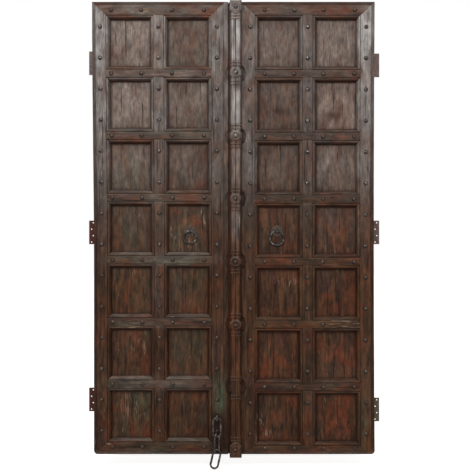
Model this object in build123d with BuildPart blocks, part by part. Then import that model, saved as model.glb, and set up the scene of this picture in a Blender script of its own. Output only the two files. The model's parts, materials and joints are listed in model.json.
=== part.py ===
from build123d import *
import os
from math import cos, pi, radians, sin

# A pair of panelled door leaves with iron studs, ring pulls and a chain hasp
# The front faces -Y, the backs of the leaves lie at Y = 0, and all sizes are millimetres

# Leaves
leaf_height = 1925
leaf_thickness = 44
left_leaf_width = 571
right_leaf_width = 616
leaf_gap = 6
panel_rows = 7
lower_corner_radius = 16
overrun = 5

# Frame members, measured between the sight lines of the panels
left_hinge_stile_width = 74
left_meeting_stile_width = 87
right_meeting_stile_width = 124
right_hinge_stile_width = 76
muntin_width = 76
rail_width = 67
top_rail_width = 74
left_bottom_rail_width = 67
right_bottom_rail_width = 53

# Stepped rim round the leaves
rim_width = 15
rim_depth = 4
meeting_rim_width = 20

# Moulding round each panel
moulding_width = 17
slope_width = 9
slope_foot = 16
bead_width = 5.5
bead_drop = 1
quirk_depth = 3.5

# Joints and panels
tenon_length = 36
tenon_height = 26
tenon_thickness = 14
mortise_clearance = 0.2
panel_recess = 22
rebate_width = 9
panel_clearance = 0.2

# Astragal
astragal_width = 52
astragal_height = 24
shaft_face_width = 34
shaft_groove_width = 5
shaft_groove_depth = 3
boss_width = 50
boss_length = 45
boss_height = 30
worn_boss_height = 22
boss_corner = 13
boss_chamfer = 5
ring_length = 6
ring_rise = 2.5
ring_overhang = 3
ring_pitch = 13
ring_gap = 10.5
end_ring_gap = 4.5
end_block_length = 58
end_block_corner = 18
astragal_drop = 8
scallop_radius = 45
scallop_depth = 9
scallop_sides = 10

# Studs
stud_radius = 9.5
stud_height = 7
stud_sides = 6
stile_stud_inset = 40
wide_stile_stud_inset = 36
left_rail_stud_shares = (0.015, 0.323, 0.637, 0.965)
right_rail_stud_shares = (0.061, 0.363, 0.66, 0.978)
stud_pitch_share = 0.25

# Hinges
hinge_height = 101.6
plate_reach = 33
plate_thickness = 2.5
barrel_radius = 5.5
pin_radius = 2.7
pin_clearance = 0.05
pin_tip = 2
pin_inset = 5.5
barrel_sides = 8
knuckle_count = 3
knuckle_gap = 0.4
hole_count = 4
hole_radius = 2.75
hole_pitch = 27.6
inner_hole_reach = 15.3
hole_stagger = 7.2
plain_hole_sides = 8
middle_hinge_rise = 944.2
left_upper_hinge_drop = 253
left_lower_hinge_rise = 225.5
right_upper_hinge_drop = 262
right_lower_hinge_rise = 182.5

# Ring pulls
left_pull_offset = 7
right_pull_offset = -7
pull_drop = 9.5
left_pull_ring_diameter = 61
right_pull_ring_diameter = 68
pull_ring_bar = 8
pull_ring_sides = 16
pull_staple_bar = 5
pull_staple_foot = 9
pull_play = 0.9
rosette_radius = 27
rosette_hollow_share = 0.86
rosette_petals = 8
rosette_thickness = 3
rosette_chamfer = 1.5

# Chain hasp
chain_staple_rise = 159.5
chain_standoff = 24
chain_staple_bar = 7
chain_staple_depth = 28
link_length = 88
link_width = 41
link_bar = 9
link_play = 3
link_bend_steps = 6
staple_play = 1.3
second_link_turn = 56
third_link_tilt = 12.6
bar_chamfer_share = 0.29

# Heights: the origin lies between the first and third holes of the middle jamb plates
leaf_bottom = -(middle_hinge_rise + hole_pitch / 2)
leaf_top = leaf_bottom + leaf_height

# Height of a leaf's panels and the middles of their rows, from the bottom up
def panel_layout(bottom_rail_width):
    rails = top_rail_width + bottom_rail_width + (panel_rows - 1) * rail_width
    height = (leaf_height - rails) / panel_rows
    first = leaf_bottom + bottom_rail_width + height / 2
    return height, [first + row * (height + rail_width) for row in range(panel_rows)]


left_panel_height, left_rows = panel_layout(left_bottom_rail_width)
right_panel_height, right_rows = panel_layout(right_bottom_rail_width)

# Widths: the staggered holes shift the doorway's middle off the origin
doorway_width = left_leaf_width + leaf_gap + right_leaf_width
left_edge = -doorway_width / 2 - hole_stagger / 2
left_meeting_edge = left_edge + left_leaf_width
right_meeting_edge = left_meeting_edge + leaf_gap
right_edge = right_meeting_edge + right_leaf_width
left_sight = left_edge + left_hinge_stile_width
left_meeting_sight = left_meeting_edge - left_meeting_stile_width
right_meeting_sight = right_meeting_edge + right_meeting_stile_width
right_sight = right_edge - right_hinge_stile_width
left_panel_width = (left_meeting_sight - left_sight - muntin_width) / 2
right_panel_width = (right_sight - right_meeting_sight - muntin_width) / 2
left_muntin = (left_sight + left_meeting_sight) / 2
right_muntin = (right_meeting_sight + right_sight) / 2
left_columns = [
    left_muntin - (muntin_width + left_panel_width) / 2,
    left_muntin + (muntin_width + left_panel_width) / 2,
]
right_columns = [
    right_muntin - (muntin_width + right_panel_width) / 2,
    right_muntin + (muntin_width + right_panel_width) / 2,
]
astragal_centre = right_meeting_edge + astragal_width / 2
boss_heights = [(lower + upper) / 2 for lower, upper in zip(right_rows, right_rows[1:])]

os.makedirs("parts", exist_ok=True)


# Plane parallel to the front face, the given depth below it
def level(depth):
    return Plane.XZ.offset(leaf_thickness - depth)


# Label and write one finished piece
def save(piece, name):
    piece.label = name
    export_step(piece, f"parts/{name}.step")


# Upright prism of a front outline, between two depths below the front face
def prism(points, near=0, far=leaf_thickness):
    with BuildPart() as solid:
        with BuildSketch(level(far)):
            with BuildLine():
                Polyline(*points, close=True)
            make_face()
        extrude(amount=far - near)
    return solid.part


# Upright prism of a rectangle given by its edges
def block(x0, x1, z0, z1, near=0, far=leaf_thickness):
    return prism([(x0, z0), (x1, z0), (x1, z1), (x0, z1)], near, far)


# Cutter for a sunk rectangle whose floor is bevelled along its edges
def sunk_block(width, height, depth, bevel_width, bevel_depth):
    with BuildPart() as solid:
        with BuildSketch(level(depth)):
            Rectangle(width, height)
        extrude(amount=depth + overrun)
        floor = solid.faces().sort_by(Axis.Y)[-1]
        chamfer(floor.edges(), bevel_width, bevel_depth, reference=floor)
    return solid.part


# What one panel opening takes out of the frame: sight opening, rebate behind it and moulding
def opening(width, height):
    bead_reach = slope_width + bead_width
    slope = sunk_block(
        width + 2 * slope_width, height + 2 * slope_width,
        slope_foot, slope_width, slope_foot - bead_drop,
    )
    with BuildPart() as cut:
        with BuildSketch(level(panel_recess)):
            Rectangle(width, height)
        extrude(amount=panel_recess + overrun)
        with BuildSketch(level(leaf_thickness + overrun)):
            Rectangle(width + 2 * rebate_width, height + 2 * rebate_width)
        extrude(amount=leaf_thickness + overrun - panel_recess)
        add(slope)
        with BuildSketch(level(bead_drop)):
            Rectangle(width + 2 * bead_reach, height + 2 * bead_reach)
        extrude(amount=bead_drop + overrun)
        with BuildSketch(level(quirk_depth)):
            Rectangle(width + 2 * moulding_width, height + 2 * moulding_width)
            Rectangle(width + 2 * bead_reach, height + 2 * bead_reach, mode=Mode.SUBTRACT)
        extrude(amount=quirk_depth + overrun)
    return cut.part


# Front outline of a rail between two panels, with mitred shoulders at its ends
def rail_outline(x0, x1, z0, z1):
    m = moulding_width
    return [
        (x0, z0), (x1, z0), (x1 + m, z0 + m), (x1 + m, z1 - m),
        (x1, z1), (x0, z1), (x0 - m, z1 - m), (x0 - m, z0 + m),
    ]


# Front outline of a muntin between two rails, with mitred shoulders at its ends
def muntin_outline(centre, z0, z1):
    m = moulding_width
    x0 = centre - muntin_width / 2
    x1 = centre + muntin_width / 2
    return [
        (x0, z0), (x0 + m, z0 - m), (x1 - m, z0 - m), (x1, z0),
        (x1, z1), (x1 - m, z1 + m), (x0 + m, z1 + m), (x0, z1),
    ]


# Lower and upper edges of a leaf's eight rails, from the bottom up
def rail_spans(height, rows):
    lower = [leaf_bottom] + [row + height / 2 for row in rows]
    upper = [row - height / 2 for row in rows] + [leaf_top]
    return list(zip(lower, upper))


# Solids of the eight rails of a leaf without mouldings: end rails are face-mitred to the stiles
def rail_blanks(sight0, sight1, stile0, stile1, spans):
    blanks = []
    for index, (z0, z1) in enumerate(spans):
        run0 = min(stile0, z1 - z0)
        run1 = min(stile1, z1 - z0)
        if index == 0:
            points = [(sight0 - run0, z0), (sight1 + run1, z0), (sight1, z1), (sight0, z1)]
        elif index == panel_rows:
            points = [(sight0, z0), (sight1, z0), (sight1 + run1, z1), (sight0 - run0, z1)]
        else:
            points = rail_outline(sight0, sight1, z0, z1)
        blanks.append(prism(points))
    return blanks


# Tenon, or the mortise for it, at one end of a rail
def tenon(sight, outward, span, clearance=0):
    middle = sum(span) / 2
    near = (leaf_thickness - tenon_thickness) / 2 - clearance
    far = (leaf_thickness + tenon_thickness) / 2 + clearance
    tip = sight + outward * (moulding_width + tenon_length + clearance)
    height = tenon_height + 2 * clearance
    return block(min(sight, tip), max(sight, tip), middle - height / 2, middle + height / 2, near, far)


# Whole outline of a leaf with its worn lower outer corner
def leaf_blank(x0, x1, rounded_x):
    with BuildPart() as blank:
        with BuildSketch(level(leaf_thickness)) as outline:
            with BuildLine():
                Polyline((x0, leaf_bottom), (x1, leaf_bottom), (x1, leaf_top), (x0, leaf_top), close=True)
            make_face()
            lower = outline.vertices().group_by(Axis.Y)[0]
            fillet([lower.sort_by(Axis.X)[0 if rounded_x == x0 else -1]], lower_corner_radius)
        extrude(amount=leaf_thickness)
    return blank.part


# The step that runs round a leaf's rim
def rim(x0, x1, inset0, inset1):
    with BuildPart() as step:
        with BuildSketch(level(rim_depth)):
            with Locations(((x0 + x1) / 2, (leaf_bottom + leaf_top) / 2)):
                Rectangle(x1 - x0 + 2 * overrun, leaf_height + 2 * overrun)
            with Locations(((x0 + inset0 + x1 - inset1) / 2, (leaf_bottom + leaf_top) / 2)):
                Rectangle(x1 - x0 - inset0 - inset1, leaf_height - 2 * rim_width, mode=Mode.SUBTRACT)
        extrude(amount=rim_depth + overrun)
    return step.part


# Round sinkings in the meeting stiles that clear the bosses of the astragal
def scallops():
    with BuildPart() as cut:
        with BuildSketch(level(scallop_depth)):
            with Locations([(astragal_centre, height) for height in boss_heights]):
                RegularPolygon(scallop_radius, scallop_sides)
        extrude(amount=scallop_depth + overrun)
    return cut.part


# One stile: a full-height board, notched for the rails' shoulders and mortised for their tenons
def make_stile(name, x0, x1, sight, outward, rails, spans, cutter, column, rows, blank, step, extra_cuts):
    mortises = [tenon(sight, outward, span, mortise_clearance) for span in spans[1:-1]]
    with BuildPart() as stile:
        add(block(x0, x1, leaf_bottom, leaf_top))
        for rail in rails:
            add(rail, mode=Mode.SUBTRACT)
        for mortise in mortises:
            add(mortise, mode=Mode.SUBTRACT)
        with Locations([(column, 0, height) for height in rows]):
            add(cutter, mode=Mode.SUBTRACT)
        add(step, mode=Mode.SUBTRACT)
        for cut in extra_cuts:
            add(cut, mode=Mode.SUBTRACT)
        add(blank, mode=Mode.INTERSECT)
    save(stile.part, name)


# The rails of one leaf, moulded along the panels and notched for the muntins
def make_rails(side, rails, spans, muntins, cutter, columns, rows, sight0, sight1, blank, step):
    for index, (rail_solid, span) in enumerate(zip(rails, spans)):
        beside = [row for row in (index - 1, index) if 0 <= row < panel_rows]
        is_end = index in (0, panel_rows)
        tenons = [] if is_end else [tenon(sight0, -1, span), tenon(sight1, 1, span)]
        with BuildPart() as rail:
            add(rail_solid)
            for tongue in tenons:
                add(tongue)
            for row in beside:
                add(muntins[row], mode=Mode.SUBTRACT)
            with Locations([(column, 0, rows[row]) for column in columns for row in beside]):
                add(cutter, mode=Mode.SUBTRACT)
            if is_end:
                add(step, mode=Mode.SUBTRACT)
                add(blank, mode=Mode.INTERSECT)
        name = "bottom_rail" if index == 0 else "top_rail" if index == panel_rows else f"rail_{index}"
        save(rail.part, f"{side}_{name}")


# The short muntins between the rails of one leaf
def make_muntins(side, muntins, cutter, columns, rows):
    for row, muntin_solid in enumerate(muntins):
        with BuildPart() as muntin:
            add(muntin_solid)
            with Locations([(column, 0, rows[row]) for column in columns]):
                add(cutter, mode=Mode.SUBTRACT)
        save(muntin.part, f"{side}_muntin_{row + 1}")


# One column of flat panels in the rebates, with a slot where a ring pull's staple goes through
def make_panels(name, column, rows, width, height, slot):
    margin = 2 * (rebate_width - panel_clearance)
    with BuildPart() as panels:
        with BuildSketch(level(leaf_thickness)):
            with Locations([(column, middle) for middle in rows]):
                Rectangle(width + margin, height + margin)
        extrude(amount=leaf_thickness - panel_recess)
        if slot is not None:
            add(slot, mode=Mode.SUBTRACT)
    save(panels.part, name)


# Carved post that covers the joint: grooved shaft, ring mouldings, bosses, the lowest worn down, and end blocks
def make_astragal():
    front = -leaf_thickness
    half = astragal_width / 2
    face = shaft_face_width / 2
    groove = shaft_groove_width / 2
    shaft = [
        (-half, 0), (-face, -astragal_height), (-groove, -astragal_height),
        (0, shaft_groove_depth - astragal_height), (groove, -astragal_height),
        (face, -astragal_height), (half, 0),
    ]
    ring_front = -astragal_height - ring_rise
    ring_face = face + ring_overhang
    ring = [(-half, 0), (-ring_face, ring_front), (ring_face, ring_front), (half, 0)]
    bottom = leaf_bottom - astragal_drop
    ring_start = boss_length / 2 + ring_gap
    ring_offsets = [-ring_start - ring_pitch, -ring_start, ring_start, ring_start + ring_pitch]
    ring_heights = [height + offset for height in boss_heights for offset in ring_offsets]
    for reach in (end_block_length + end_ring_gap, end_block_length + end_ring_gap + ring_pitch):
        ring_heights += [leaf_top - reach, leaf_bottom + reach]
    with BuildPart() as astragal:
        with BuildSketch(Plane.XY.offset(bottom)):
            with BuildLine(Location((astragal_centre, front))):
                Polyline(*shaft, close=True)
            make_face()
        extrude(amount=leaf_top - bottom)
        for height in ring_heights:
            with BuildSketch(Plane.XY.offset(height - ring_length / 2)):
                with BuildLine(Location((astragal_centre, front))):
                    Polyline(*ring, close=True)
                make_face()
            extrude(amount=ring_length)
        with BuildSketch(level(0)) as faces:
            with Locations([(astragal_centre, height) for height in boss_heights[1:]]):
                Rectangle(boss_width, boss_length)
            chamfer(faces.vertices(), boss_corner)
        extrude(amount=boss_height)
        with BuildSketch(level(0)) as stump:
            with Locations((astragal_centre, boss_heights[0])):
                Rectangle(boss_width, boss_length)
            chamfer(stump.vertices(), boss_corner)
        extrude(amount=worn_boss_height)
        with BuildSketch(level(0)) as ends:
            with Locations((astragal_centre, leaf_top - end_block_length / 2)):
                Rectangle(boss_width, end_block_length)
            with Locations((astragal_centre, bottom + (end_block_length + astragal_drop) / 2)):
                Rectangle(boss_width, end_block_length + astragal_drop)
            inner = ends.vertices().filter_by_position(Axis.Y, leaf_bottom, leaf_top, (False, False))
            chamfer(inner, end_block_corner)
        extrude(amount=boss_height)
        chamfer(astragal.faces().sort_by(Axis.Y)[:panel_rows].edges(), boss_chamfer)
    save(astragal.part, "astragal")


# Stud head of flat facets that meet at its crown, seated on the plane Y = 0
def stud_head():
    turn = 2 * pi / stud_sides
    rim_points = [(stud_radius * sin(turn * k), 0, stud_radius * cos(turn * k)) for k in range(stud_sides)]
    crown = (0, -stud_height, 0)
    facets = [Face(Wire.make_polygon(rim_points))]
    for k in range(stud_sides):
        facets.append(Face(Wire.make_polygon([rim_points[k - 1], rim_points[k], crown])))
    return Solid(Shell(facets))


# Stud heads as one group, seated at the given depth below the front face
def make_studs(name, places, depth):
    head = stud_head()
    with BuildPart() as studs:
        with Locations([(x, depth - leaf_thickness, z) for x, z in places]):
            add(head)
    save(studs.part, name)


# Places of the studs on one leaf: stiles and muntins beside each panel, then along the rails
def stud_places(sight0, sight1, uprights, shares, height, rows):
    places = []
    reach = stud_pitch_share * (height + rail_width)
    for row in rows:
        places += [(x, row + offset) for offset in (-reach, reach) for x in uprights]
    for index, (z0, z1) in enumerate(rail_spans(height, rows)):
        if index == 0:
            middle = (z0 + rim_width + z1 - moulding_width) / 2
        elif index == panel_rows:
            middle = (z0 + moulding_width + z1 - rim_width) / 2
        else:
            middle = (z0 + z1) / 2
        places += [(sight0 + share * (sight1 - sight0), middle) for share in shares]
    return places


# Hinge plates of one side as one group: jamb plates carry the outer knuckles, door plates the middle one
def make_plates(name, axis, outward, heights, knuckles, holed):
    third = hinge_height / knuckle_count
    clearing = 2 * (barrel_radius + knuckle_gap)
    first_outer = outward > 0
    with BuildPart() as plates:
        with BuildSketch(Plane.XZ):
            with Locations([(axis + outward * plate_reach / 2, height) for height in heights]):
                Rectangle(plate_reach, hinge_height)
        extrude(amount=-plate_thickness)
        for height in heights:
            for index in range(knuckle_count):
                base = height - hinge_height / 2 + index * third
                if index in knuckles:
                    with BuildSketch(Plane.XY.offset(base + knuckle_gap / 2)):
                        with Locations((axis, barrel_radius)):
                            RegularPolygon(barrel_radius, barrel_sides)
                    extrude(amount=third - knuckle_gap)
                else:
                    with BuildSketch(Plane.XY.offset(base - knuckle_gap / 2)):
                        with Locations((axis, barrel_radius)):
                            Rectangle(clearing, clearing)
                    extrude(amount=third + knuckle_gap, mode=Mode.SUBTRACT)
            with BuildSketch(Plane.XY.offset(height - hinge_height / 2 - overrun)):
                with Locations((axis, barrel_radius)):
                    RegularPolygon(pin_radius + pin_clearance, barrel_sides, major_radius=False)
            extrude(amount=hinge_height + 2 * overrun, mode=Mode.SUBTRACT)
        if holed:
            for index in range(hole_count):
                reach = inner_hole_reach + hole_stagger * ((index + first_outer) % 2)
                rise = ((hole_count - 1) / 2 - index) * hole_pitch
                with BuildSketch(Plane.XZ):
                    with Locations((axis + outward * reach, heights[1] + rise)):
                        Circle(hole_radius)
                    with Locations([(axis + outward * reach, height + rise) for height in heights[::2]]):
                        RegularPolygon(hole_radius, plain_hole_sides)
                extrude(amount=-plate_thickness, mode=Mode.SUBTRACT)
    save(plates.part, name)


# Hinge pins of one side
def make_pins(name, axis, heights):
    with BuildPart() as pins:
        for height in heights:
            with BuildSketch(Plane.XY.offset(height - hinge_height / 2 - pin_tip)):
                with Locations((axis, barrel_radius)):
                    Circle(pin_radius)
            extrude(amount=hinge_height + 2 * pin_tip)
    save(pins.part, name)


# Staple outline in a YZ plane: a squared nose round a bar, with two legs and, if wanted, clenched feet
def staple_outline(bar_y, bar_z, bar, gap, back, thickness, foot):
    inner = bar / 2 + gap
    outer = inner + thickness
    nose = bar_y - outer
    upper = [(nose + thickness, outer), (back, outer)]
    if foot > 0:
        upper += [(back, outer + foot), (back + thickness, outer + foot), (back + thickness, inner)]
    else:
        upper += [(back, inner)]
    upper += [(bar_y - inner, inner)]
    points = [(nose, outer - thickness)] + upper
    lower = [(y, -z) for y, z in reversed(points)]
    return [(y, bar_z + z) for y, z in points + lower]


# Staple of flat bar, standing in the YZ plane at the given x
def make_staple(name, x, outline, thickness):
    with BuildPart() as staple:
        with BuildSketch(Plane.YZ.offset(x - thickness / 2)):
            with BuildLine():
                Polyline(*outline, close=True)
            make_face()
        extrude(amount=thickness)
    save(staple.part, name)


# Loop of forged eight-sided bar on a plane, from its outer and inner outlines
def make_loop(name, plane, outer, inner, bar):
    with BuildPart() as loop:
        with BuildSketch(plane.offset(-bar / 2)):
            with BuildLine():
                Polyline(*outer, close=True)
            make_face()
            with BuildLine():
                Polyline(*inner, close=True)
            make_face(mode=Mode.SUBTRACT)
        extrude(amount=bar)
        ends = loop.faces().filter_by(Plane(plane.origin, z_dir=plane.z_dir))
        chamfer(ends.edges(), bar * bar_chamfer_share)
    save(loop.part, name)


# Points of a ring of straight facets
def ring_points(radius):
    turn = 2 * pi / pull_ring_sides
    return [(radius * sin(turn * k), radius * cos(turn * k)) for k in range(pull_ring_sides)]


# Points of a long link with faceted bends
def link_points(radius, straight):
    angles = [pi * k / link_bend_steps for k in range(link_bend_steps + 1)]
    bend = [(radius * cos(angle), straight / 2 + radius * sin(angle)) for angle in angles]
    return bend + [(-x, -y) for x, y in bend]


# Lobed plate behind a ring pull, slotted for the staple
def make_rosette(name, x, z, slot):
    points = []
    for k in range(2 * rosette_petals):
        radius = rosette_radius if k % 2 == 0 else rosette_radius * rosette_hollow_share
        angle = pi * k / rosette_petals
        points.append((x + radius * sin(angle), z + radius * cos(angle)))
    with BuildPart() as rosette:
        with BuildSketch(level(panel_recess)):
            with BuildLine():
                Polyline(*points, close=True)
            make_face()
        extrude(amount=rosette_thickness)
        chamfer(rosette.faces().sort_by(Axis.Y)[0].edges(), rosette_chamfer)
        add(slot, mode=Mode.SUBTRACT)
    save(rosette.part, name)


# One ring pull: rosette on the panel, staple through it, ring in the staple; gives back the panel's slot
def make_pull(side, x, z, diameter):
    panel_front = panel_recess - leaf_thickness
    bar_y = panel_front - rosette_thickness - pull_play - pull_ring_bar / 2
    outer = pull_ring_bar / 2 + pull_play + pull_staple_bar
    half = pull_staple_bar / 2
    slot = block(x - half, x + half, z - outer, z + outer, -overrun, leaf_thickness + overrun)
    make_rosette(f"{side}_pull_rosette", x, z, slot)
    outline = staple_outline(bar_y, z, pull_ring_bar, pull_play, 0, pull_staple_bar, pull_staple_foot)
    make_staple(f"{side}_pull_staple", x, outline, pull_staple_bar)
    plane = Plane((x, bar_y, z - (diameter - pull_ring_bar) / 2), x_dir=(1, 0, 0), z_dir=(0, -1, 0))
    make_loop(
        f"{side}_pull_ring", plane, ring_points(diameter / 2), ring_points(diameter / 2 - pull_ring_bar),
        pull_ring_bar,
    )
    return slot


# Chain hasp: three long links hung from the staple, the second turned and the third tilted
def make_chain(x, y, z):
    reach = link_length - link_bar
    hold = link_bar + link_play
    straight = link_length - link_width
    outer = link_points(link_width / 2, straight)
    inner = link_points(link_width / 2 - link_bar, straight)
    first = Plane((x, y, z - reach / 2), x_dir=(1, 0, 0), z_dir=(0, -1, 0))
    make_loop("chain_link_1", first, outer, inner, link_bar)
    turn = radians(second_link_turn)
    second_z = z - reach + hold - reach / 2
    second = Plane((x, y, second_z), x_dir=(cos(turn), sin(turn), 0), z_dir=(sin(turn), -cos(turn), 0))
    make_loop("chain_link_2", second, outer, inner, link_bar)
    tilt = radians(third_link_tilt)
    drop = reach / 2 - hold
    pivot_z = second_z - reach / 2
    centre = (x - drop * sin(tilt), y, pivot_z - drop * cos(tilt))
    third = Plane(centre, x_dir=(cos(tilt), 0, -sin(tilt)), z_dir=(0, -1, 0))
    make_loop("chain_link_3", third, outer, inner, link_bar)


# Holes for the two legs of the chain's staple in the left meeting stile
def staple_leg_holes(x, z):
    inner = link_bar / 2 + staple_play
    outer = inner + chain_staple_bar
    half = chain_staple_bar / 2
    return [
        block(x - half, x + half, z + inner, z + outer, -overrun, chain_staple_depth),
        block(x - half, x + half, z - outer, z - inner, -overrun, chain_staple_depth),
    ]


# One leaf: stiles, rails, muntins and panels
def make_leaf(
    side, edge0, edge1, sight0, sight1, stiles, columns, rows, muntin, width, height, step, cuts, slots, round_x
):
    cutter = opening(width, height)
    spans = rail_spans(height, rows)
    rails = rail_blanks(sight0, sight1, sight0 - edge0, edge1 - sight1, spans)
    muntins = [prism(muntin_outline(muntin, row - height / 2, row + height / 2)) for row in rows]
    blank = leaf_blank(edge0, edge1, round_x)
    first, last = (f"{side}_{stile}" for stile in stiles)
    make_stile(
        first, edge0, sight0, sight0, -1, rails, spans, cutter, columns[0], rows, blank, step, cuts[0]
    )
    make_stile(last, sight1, edge1, sight1, 1, rails, spans, cutter, columns[1], rows, blank, step, cuts[1])
    make_rails(side, rails, spans, muntins, cutter, columns, rows, sight0, sight1, blank, step)
    make_muntins(side, muntins, cutter, columns, rows)
    for column, stile, slot in zip(columns, stiles, slots):
        make_panels(f"{side}_{stile.replace('stile', 'side')}_panels", column, rows, width, height, slot)


# Ring pulls on the middle row of panels, and the chain on the left meeting stile
pull_height = left_rows[panel_rows // 2] - pull_drop
left_slot = make_pull("left", left_columns[1] + left_pull_offset, pull_height, left_pull_ring_diameter)
right_slot = make_pull("right", right_columns[0] + right_pull_offset, pull_height, right_pull_ring_diameter)
chain_x = left_meeting_sight + stile_stud_inset
chain_y = -leaf_thickness - chain_standoff
chain_z = leaf_bottom + chain_staple_rise
make_staple(
    "chain_staple", chain_x,
    staple_outline(
        chain_y, chain_z, link_bar, staple_play, chain_staple_depth - leaf_thickness, chain_staple_bar, 0
    ),
    chain_staple_bar,
)
make_chain(chain_x, chain_y, chain_z)

# Leaves
sinkings = scallops()
make_leaf(
    "left", left_edge, left_meeting_edge, left_sight, left_meeting_sight,
    ("hinge_stile", "meeting_stile"), left_columns, left_rows, left_muntin,
    left_panel_width, left_panel_height,
    rim(left_edge, left_meeting_edge, rim_width, meeting_rim_width),
    ([], [sinkings] + staple_leg_holes(chain_x, chain_z)), (None, left_slot), left_edge,
)
make_leaf(
    "right", right_meeting_edge, right_edge, right_meeting_sight, right_sight,
    ("meeting_stile", "hinge_stile"), right_columns, right_rows, right_muntin,
    right_panel_width, right_panel_height,
    rim(right_meeting_edge, right_edge, 0, rim_width),
    ([sinkings], []), (right_slot, None), right_edge,
)

# Astragal and studs
make_astragal()
left_uprights = [left_sight - stile_stud_inset, left_muntin, left_meeting_sight + stile_stud_inset]
right_uprights = [right_meeting_sight - wide_stile_stud_inset, right_muntin, right_sight + stile_stud_inset]
left_places = stud_places(
    left_sight, left_meeting_sight, left_uprights, left_rail_stud_shares, left_panel_height, left_rows
)
right_places = stud_places(
    right_meeting_sight, right_sight, right_uprights, right_rail_stud_shares, right_panel_height, right_rows
)
make_studs("left_studs", left_places, 0)
make_studs("right_studs", right_places, 0)
block_heights = [leaf_top - end_block_length / 2, leaf_bottom + (end_block_length - astragal_drop) / 2]
boss_places = [(astragal_centre, height) for height in boss_heights[1:] + block_heights]
make_studs("astragal_studs", boss_places, -boss_height)

# Hinges
left_axis = left_edge + pin_inset
right_axis = right_edge - pin_inset
middle_hinge = leaf_bottom + middle_hinge_rise
left_heights = [leaf_bottom + left_lower_hinge_rise, middle_hinge, leaf_top - left_upper_hinge_drop]
right_heights = [leaf_bottom + right_lower_hinge_rise, middle_hinge, leaf_top - right_upper_hinge_drop]
for side, axis, outward, heights in (
    ("left", left_axis, -1, left_heights),
    ("right", right_axis, 1, right_heights),
):
    make_plates(f"{side}_jamb_plates", axis, outward, heights, (0, 2), True)
    make_plates(f"{side}_door_plates", axis, -outward, heights, (1,), False)
    make_pins(f"{side}_hinge_pins", axis, heights)
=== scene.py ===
import json
import math
import random

import bmesh
import bpy
from mathutils import Matrix, Vector, noise


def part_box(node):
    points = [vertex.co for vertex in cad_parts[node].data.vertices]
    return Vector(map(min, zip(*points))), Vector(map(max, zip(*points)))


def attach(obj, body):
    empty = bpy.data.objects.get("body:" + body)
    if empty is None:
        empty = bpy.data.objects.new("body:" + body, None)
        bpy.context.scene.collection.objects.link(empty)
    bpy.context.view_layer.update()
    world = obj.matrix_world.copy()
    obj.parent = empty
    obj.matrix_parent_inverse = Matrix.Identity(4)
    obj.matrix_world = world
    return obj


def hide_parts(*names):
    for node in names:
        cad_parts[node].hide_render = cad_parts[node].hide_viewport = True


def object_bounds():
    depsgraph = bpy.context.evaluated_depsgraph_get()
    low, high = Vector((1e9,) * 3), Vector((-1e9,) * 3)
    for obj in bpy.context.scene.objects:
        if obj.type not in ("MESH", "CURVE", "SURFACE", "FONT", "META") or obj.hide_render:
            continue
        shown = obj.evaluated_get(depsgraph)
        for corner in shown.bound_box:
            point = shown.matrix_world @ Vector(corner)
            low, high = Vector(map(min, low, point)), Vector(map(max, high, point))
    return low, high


bl_info = {
    "name": "Panelled door leaves",
    "version": (1, 0, 0),
    "blender": (4, 5, 0),
    "location": "View3D > Sidebar > Door",
    "description": "Dresses a pair of old panelled door leaves with worn wood and forged iron",
    "category": "Object",
}

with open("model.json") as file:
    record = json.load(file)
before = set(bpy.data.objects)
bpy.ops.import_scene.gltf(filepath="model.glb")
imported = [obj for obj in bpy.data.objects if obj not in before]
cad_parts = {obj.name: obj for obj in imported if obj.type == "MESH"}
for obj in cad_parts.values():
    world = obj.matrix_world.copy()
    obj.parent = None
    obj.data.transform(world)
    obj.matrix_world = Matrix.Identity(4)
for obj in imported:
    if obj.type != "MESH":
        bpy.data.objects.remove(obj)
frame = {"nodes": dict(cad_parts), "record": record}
cad_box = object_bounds()

SIDES = ("left", "right")
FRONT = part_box("left_top_rail")[0].y
PANEL_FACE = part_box("left_hinge_side_panels")[0].y
LEFT_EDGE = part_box("left_hinge_stile")[0].x
RIGHT_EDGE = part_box("right_hinge_stile")[1].x
MEETING_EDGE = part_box("left_meeting_stile")[1].x
BOTTOM_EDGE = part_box("left_bottom_rail")[0].z

# Depths behind the front at which the rim and the quirks lie, the slopes end and the hidden wood begins
RIM_DEPTH = (0.0028, 0.0052)
SLOPE_FOOT = 0.014
BACK_DEPTH = 0.03
# Widths of the rims at the left leaf's meeting edge and along the bottom, which get no painted dark line and
# less painted shade
PALE_RIM_WIDTH = 0.022
RIM_WIDTH = 0.0145
# Heights between which ledges facing up grow paler on the way down, by dust and by painted light from above
LEDGE_LIGHT_HEIGHTS = (0.6, -0.1)


def length(name, description, default):
    """Property for one length in metres."""
    return bpy.props.FloatProperty(
        name=name, description=description, default=default, unit="LENGTH", precision=5
    )


class DoorSizes(bpy.types.PropertyGroup):
    """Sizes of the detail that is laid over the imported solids."""

    edge_ease: length("Edge ease", "Rounding worn onto the arrises", 0.0008)
    board_step: length("Board step", "Spacing of the cuts that let a board be uneven", 0.012)
    unevenness: length("Unevenness", "How far old boards stand off a true plane", 0.0009)
    fibre_width: length("Fibre width", "Width of the wood's fibres as drawn", 0.0055)
    stud_lift: length("Stud crown", "Height of a stud's crown above the wood", 0.007)
    collar_radius: length("Collar radius", "Radius of the ring carved round each boss's stud", 0.0155)
    outward_lean: length("Outward lean", "How far the left leaf's outer edge leans out at the top", 0.0085)
    screw_radius: length("Screw head", "Radius of the screw heads in the door plates", 0.0042)


def colour(name, description, default):
    """Property for one sRGB hex colour."""
    return bpy.props.StringProperty(name=name, description=description, default=default)


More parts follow.
